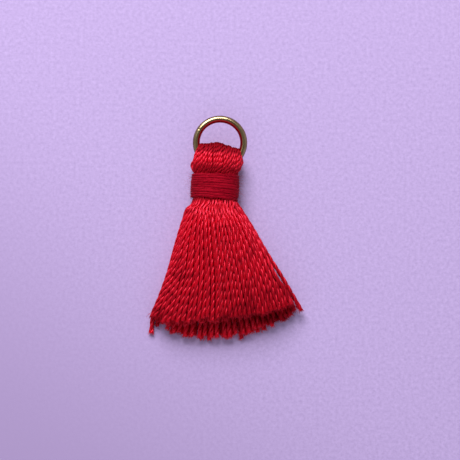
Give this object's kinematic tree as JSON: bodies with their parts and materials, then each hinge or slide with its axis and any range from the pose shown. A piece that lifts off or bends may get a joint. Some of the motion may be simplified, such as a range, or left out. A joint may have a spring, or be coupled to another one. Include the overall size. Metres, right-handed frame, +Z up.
{
  "type": "silk tassel",
  "caption": "Small red silk tassel on a brass jump ring, lying flat: glossy strands folded over the ring, bound at the neck and fanned out below.",
  "frame": {"origin": "under the middle of the whole tassel, on the surface it lies on", "axes": "+Z up from the surface, +Y along the tassel towards the ring, +X to the right seen from above with the ring at the top"},
  "size_m": [0.0208, 0.03, 0.0044],
  "materials": {
    "silk_yarn": "glossy two-ply silk yarn",
    "binding_thread": "matte fine thread",
    "antique_brass": "polished with dark tarnish"
  },
  "bodies": {
    "root": {"yarn_bundle": "silk_yarn", "neck_binding": "binding_thread", "jump_ring": "antique_brass"}
  },
  "joints": []
}
